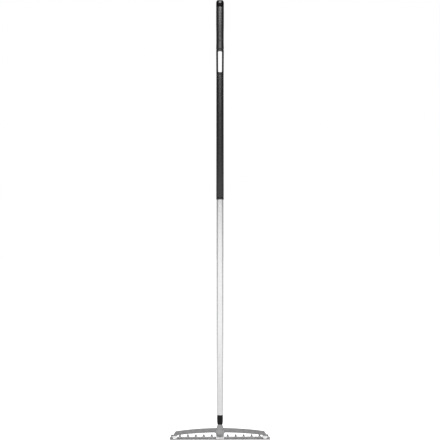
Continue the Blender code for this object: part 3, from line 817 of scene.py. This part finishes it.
def blend_colours(material, factor, first, second):
    """The first colour, or the socket it comes from, where the factor is 0, and the second at 1."""
    mix = add_node(material, "ShaderNodeMix")
    mix.data_type = "RGBA"
    links = material.node_tree.links
    links.new(factor, mix.inputs["Factor"])
    for key, colour in ((6, first), (7, second)):
        if isinstance(colour, bpy.types.NodeSocket):
            links.new(colour, mix.inputs[key])
        else:
            mix.inputs[key].default_value = (*colour, 1)
    return mix.outputs[2]


def raise_surface(material, shader, height, depth, strength=1.0):
    """Bump of this depth in metres."""
    bump = add_node(material, "ShaderNodeBump", [("Strength", strength), ("Distance", depth)])
    links = material.node_tree.links
    links.new(height, bump.inputs["Height"])
    links.new(bump.outputs["Normal"], shader.inputs["Normal"])


def edge_wear(material, width):
    """A value that is 1 on convex edges within this width, and 0 on flat faces."""
    links = material.node_tree.links
    rounded = add_node(material, "ShaderNodeBevel", [("Radius", width)])
    rounded.samples = 4
    flat = add_node(material, "ShaderNodeNewGeometry")
    facing = add_node(material, "ShaderNodeVectorMath")
    facing.operation = "DOT_PRODUCT"
    links.new(rounded.outputs["Normal"], facing.inputs[0])
    links.new(flat.outputs["Normal"], facing.inputs[1])
    return between(material, facing.outputs["Value"], 1.0, 0.0, start=0.8, stop=0.99)


def steel_material(name, dull, bright):
    """Satin steel: fine rolling lines along the head, clouds from dull to bright, and rubbed edges."""
    material, shader = start_material(name, (dull, dull, dull), 0.36, metallic=1.0)
    links = material.node_tree.links
    clouds = pattern(material, STEEL_CLOUDS, detail=4.0)
    lines = pattern(material, ROLLED_LINES, ROLLED_STRETCH, detail=2.0)
    wear = edge_wear(material, WEAR_WIDTH)
    shade = between(material, clouds, 0.0, 1.0)
    sheet = blend_colours(material, shade, (dull, dull, dull * 1.01), (bright, bright, bright * 1.01))
    worn = blend_colours(material, wear, sheet, (RUBBED, RUBBED, RUBBED))
    links.new(worn, shader.inputs["Base Color"])
    links.new(between(material, lines, *STEEL_ROUGHNESS), shader.inputs["Roughness"])
    raise_surface(material, shader, lines, ROLLED_DEPTH)
    return material


def forged_material():
    """Forged steel: the sheet's colour with a slightly pitted skin."""
    material, shader = start_material("forged_steel", (0.41, 0.41, 0.415), 0.4, metallic=1.0)
    links = material.node_tree.links
    pits = pattern(material, FORGED_PITS, detail=4.0)
    clouds = between(material, pattern(material, FORGED_CLOUDS), 0.0, 1.0)
    skin = blend_colours(material, clouds, FORGED_DULL, FORGED_BRIGHT)
    links.new(skin, shader.inputs["Base Color"])
    links.new(between(material, pits, *FORGED_ROUGHNESS), shader.inputs["Roughness"])
    raise_surface(material, shader, pits, FORGED_DEPTH)
    return material


def weld_material():
    """Weld metal: rougher than the sheet and much lighter, the lightness a painted highlight for the lit
    feet, with a faint brownish straw tint of its own.
    """
    material, shader = start_material("weld_metal_lit_bead", (0.72, 0.71, 0.7), 0.5, metallic=1.0)
    links = material.node_tree.links
    spots = between(material, pattern(material, WELD_SPOTS), 0.0, 1.0)
    # The bead's lightness is painted highlight; the straw spots are its own heat tint
    links.new(blend_colours(material, spots, WELD_LIT_GREY, WELD_LIT_STRAW), shader.inputs["Base Color"])
    grain = pattern(material, WELD_GRAIN)
    links.new(between(material, grain, *WELD_ROUGHNESS), shader.inputs["Roughness"])
    return material


def aluminium_material():
    """Satin anodised tube with very fine lines drawn along it."""
    material, shader = start_material("anodised_tube", (0.83, 0.83, 0.835), 0.3, metallic=1.0)
    links = material.node_tree.links
    lines = pattern(material, DRAWN_LINES, DRAWN_STRETCH, detail=2.0)
    clouds = between(material, pattern(material, ALUMINIUM_CLOUDS, CLOUD_STRETCH), 0.0, 1.0)
    anodised = blend_colours(material, clouds, ALUMINIUM_DULL, ALUMINIUM_BRIGHT)
    links.new(anodised, shader.inputs["Base Color"])
    links.new(between(material, lines, *ALUMINIUM_ROUGHNESS), shader.inputs["Roughness"])
    raise_surface(material, shader, lines, DRAWN_DEPTH)
    return material


def moulded_material(name, colour, roughness, grain, depth, gloss):
    """Moulded plastic or rubber with a fine even grain and slightly uneven sheen."""
    material, shader = start_material(name, colour, roughness)
    shader.inputs["Specular IOR Level"].default_value = gloss
    links = material.node_tree.links
    texture = pattern(material, grain, detail=2.0)
    patches = between(material, pattern(material, MOULD_CLOUDS), 0.0, 1.0)
    darker, lighter = ([part * shade for part in colour] for shade in MOULD_SHADES)
    least, greatest = (roughness * part for part in MOULD_SHEEN)
    links.new(blend_colours(material, patches, darker, lighter), shader.inputs["Base Color"])
    links.new(between(material, texture, least, greatest), shader.inputs["Roughness"])
    raise_surface(material, shader, texture, depth)
    return material


def studio_floor():
    """Pale floor that looks white to the camera and in reflections, and still takes a soft shadow."""
    bm = bmesh.new()
    bmesh.ops.create_grid(bm, x_segments=1, y_segments=1, size=FLOOR_HALF)
    floor = bpy.data.objects.new("studio_floor", mesh_from("studio_floor", bm))
    bpy.context.scene.collection.objects.link(floor)
    floor.location = (0, 0, -SLOT_TOP - FLOOR_GAP)
    material, shader = start_material("pale_floor", FLOOR_COLOUR, 0.9)
    shader.inputs["Specular IOR Level"].default_value = 0.0
    tree = material.node_tree
    path = tree.nodes.new("ShaderNodeLightPath")
    glow = None
    lifts = {"Is Camera Ray": FLOOR_LIFT, "Is Glossy Ray": FLOOR_GLOW, "Is Transmission Ray": FLOOR_GLOW}
    for name, lift in lifts.items():
        more = tree.nodes.new("ShaderNodeMath")
        more.operation = "MULTIPLY_ADD"
        more.inputs[1].default_value = lift
        more.inputs[2].default_value = 0
        tree.links.new(path.outputs[name], more.inputs[0])
        if glow:
            tree.links.new(glow, more.inputs[2])
        glow = more.outputs[0]
    shader.inputs["Emission Color"].default_value = (1, 1, 1, 1)
    tree.links.new(glow, shader.inputs["Emission Strength"])
    floor.data.materials.append(material)


def seen_rays(tree):
    """1 for rays from the camera and for reflected or transmitted ones, else 0."""
    path = tree.nodes.new("ShaderNodeLightPath")
    total = path.outputs["Is Camera Ray"]
    for name in ("Is Glossy Ray", "Is Transmission Ray"):
        larger = tree.nodes.new("ShaderNodeMath")
        larger.operation = "MAXIMUM"
        tree.links.new(total, larger.inputs[0])
        tree.links.new(path.outputs[name], larger.inputs[1])
        total = larger.outputs[0]
    return total


def smooth_step(tree, factor, start, stop, low, high):
    """A value that eases from low to high as the factor goes from start to stop."""
    spread = tree.nodes.new("ShaderNodeMapRange")
    spread.interpolation_type = "SMOOTHSTEP"
    for key, value in (("From Min", start), ("From Max", stop), ("To Min", low), ("To Max", high)):
        spread.inputs[key].default_value = value
    tree.links.new(factor, spread.inputs["Value"])
    return spread.outputs["Result"]


def studio_world():
    """White background, also in reflections, with a dim studio round it that is darker at both sides."""
    world = bpy.data.worlds.new("studio")
    bpy.context.scene.world = world
    world.use_nodes = True
    tree = world.node_tree
    background = tree.nodes["Background"]
    background.inputs["Color"].default_value = (1, 1, 1, 1)
    direction = tree.nodes.new("ShaderNodeTexCoord")
    split = tree.nodes.new("ShaderNodeSeparateXYZ")
    tree.links.new(direction.outputs["Generated"], split.inputs["Vector"])
    sideways = tree.nodes.new("ShaderNodeMath")
    sideways.operation = "ABSOLUTE"
    tree.links.new(split.outputs["X"], sideways.inputs[0])
    sides = smooth_step(tree, sideways.outputs[0], SIDE_START, SIDE_FULL, REFLECTED, SIDE_GREY)
    behind = smooth_step(tree, split.outputs["Y"], BACKDROP_START, BACKDROP_FULL, 0, 1)
    round_about = tree.nodes.new("ShaderNodeMix")
    round_about.inputs["B"].default_value = 1
    tree.links.new(behind, round_about.inputs["Factor"])
    tree.links.new(sides, round_about.inputs["A"])
    path = tree.nodes.new("ShaderNodeLightPath")
    reflected = tree.nodes.new("ShaderNodeMix")
    reflected.inputs["A"].default_value = AMBIENT
    tree.links.new(seen_rays(tree), reflected.inputs["Factor"])
    tree.links.new(round_about.outputs["Result"], reflected.inputs["B"])
    white = tree.nodes.new("ShaderNodeMix")
    white.inputs["B"].default_value = 1
    tree.links.new(path.outputs["Is Camera Ray"], white.inputs["Factor"])
    tree.links.new(reflected.outputs["Result"], white.inputs["A"])
    tree.links.new(white.outputs["Result"], background.inputs["Strength"])


def softbox(name, centre, target, width, height, radiance):
    """Rectangular lamp of this radiance, which shows in the object's gloss but not to the camera."""
    light = bpy.data.lights.new(name, "AREA")
    light.shape = "RECTANGLE"
    light.size = width
    light.size_y = height
    light.energy = radiance * math.pi * width * height
    lamp = bpy.data.objects.new(name, light)
    bpy.context.scene.collection.objects.link(lamp)
    lamp.location = centre
    lamp.rotation_euler = (Vector(target) - Vector(centre)).to_track_quat("-Z", "Y").to_euler()
    lamp.visible_camera = False


def lamp_arc(name, reach, turns, bottom, top, radiance):
    """Upright panels side by side in an arc this far from the shaft, at these even turns from its front."""
    middle = (bottom + top) / 2 - SLOT_TOP
    width = 2 * reach * math.tan(math.radians(turns[1] - turns[0]) / 2)
    for turn in turns:
        angle = math.radians(turn)
        centre = (reach * math.sin(angle), -reach * math.cos(angle), middle)
        softbox(f"{name}_{turn}", centre, (0, 0, middle), width, top - bottom, radiance)


def studio_lamps():
    """Panels in an arc before the handle and a wider arc round the shaft, one overhead and one behind."""
    lamp_arc("front", FRONT_REACH, FRONT_TURNS, FRONT_LOW, FRONT_HIGH, FRONT_RADIANCE)
    lamp_arc("low", LOW_REACH, LOW_TURNS, LOW_BOTTOM, LOW_TOP, LOW_RADIANCE)
    above = (0, -TOP_FORWARD, TOP_HEIGHT - SLOT_TOP)
    below = (0, -TOP_FORWARD, -SLOT_TOP)
    softbox("overhead", above, below, TOP_SIDE, TOP_SIDE, TOP_RADIANCE)
    behind = (0, BACK_REACH, BACK_HEIGHT - SLOT_TOP)
    aim = (0, 0, BACK_AIM - SLOT_TOP)
    softbox("behind", behind, aim, BACK_WIDTH, BACK_TALL, BACK_RADIANCE)


def camera():
    """Level camera at half the rake's height, framing it from end to end."""
    made = bpy.data.cameras.new("camera")
    made.sensor_width = SENSOR
    made.lens = SENSOR * CAMERA_DISTANCE / VIEW_HEIGHT
    holder = bpy.data.objects.new("camera", made)
    bpy.context.scene.collection.objects.link(holder)
    holder.location = (
        CAMERA_DISTANCE * math.sin(CAMERA_AZIMUTH),
        -CAMERA_DISTANCE * math.cos(CAMERA_AZIMUTH),
        CAMERA_HEIGHT - SLOT_TOP,
    )
    holder.rotation_euler = (math.pi / 2, 0, CAMERA_AZIMUTH)
    bpy.context.scene.camera = holder


bpy.context.scene.view_settings.view_transform = "Standard"
camera()
studio_world()
studio_floor()
studio_lamps()

steel = steel_material("satin_steel_sheet", *SHEET_GREYS)
# Lighter copy of the sheet steel for the plate and spine bar: painted light
lit_plate_steel = steel_material("satin_steel_lit_plate", *PLATE_LIT_GREYS)
weld = weld_material()
aluminium = aluminium_material()
hard_black = moulded_material("hard_black_moulding", *HARD_BLACK)
soft_black = moulded_material("soft_black_overmould", *SOFT_BLACK)
matt_black = moulded_material("ferrule_moulding", *MATT_BLACK)
gloss_black = moulded_material("gloss_black_cap", *CAP_BLACK)

tine_comb(lit_plate_steel)
spine_bar(lit_plate_steel)
bow_frame(steel)
socket_tang(forged_material())
head_welds(weld)
shaft_tube(aluminium)
ferrule(matt_black)
tang_rivet(aluminium)
# The ferrule's duller black also goes on the collar's neck, as painted shade in its groove
sleeve_collar(hard_black, matt_black)
grip_sleeve(hard_black)
hanger_frame(hard_black)
soft_grip(soft_black)
end_cap(gloss_black)

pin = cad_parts["hanger_pin"]
pin.data.materials.clear()
pin.data.materials.append(steel)

bpy.context.view_layer.update()
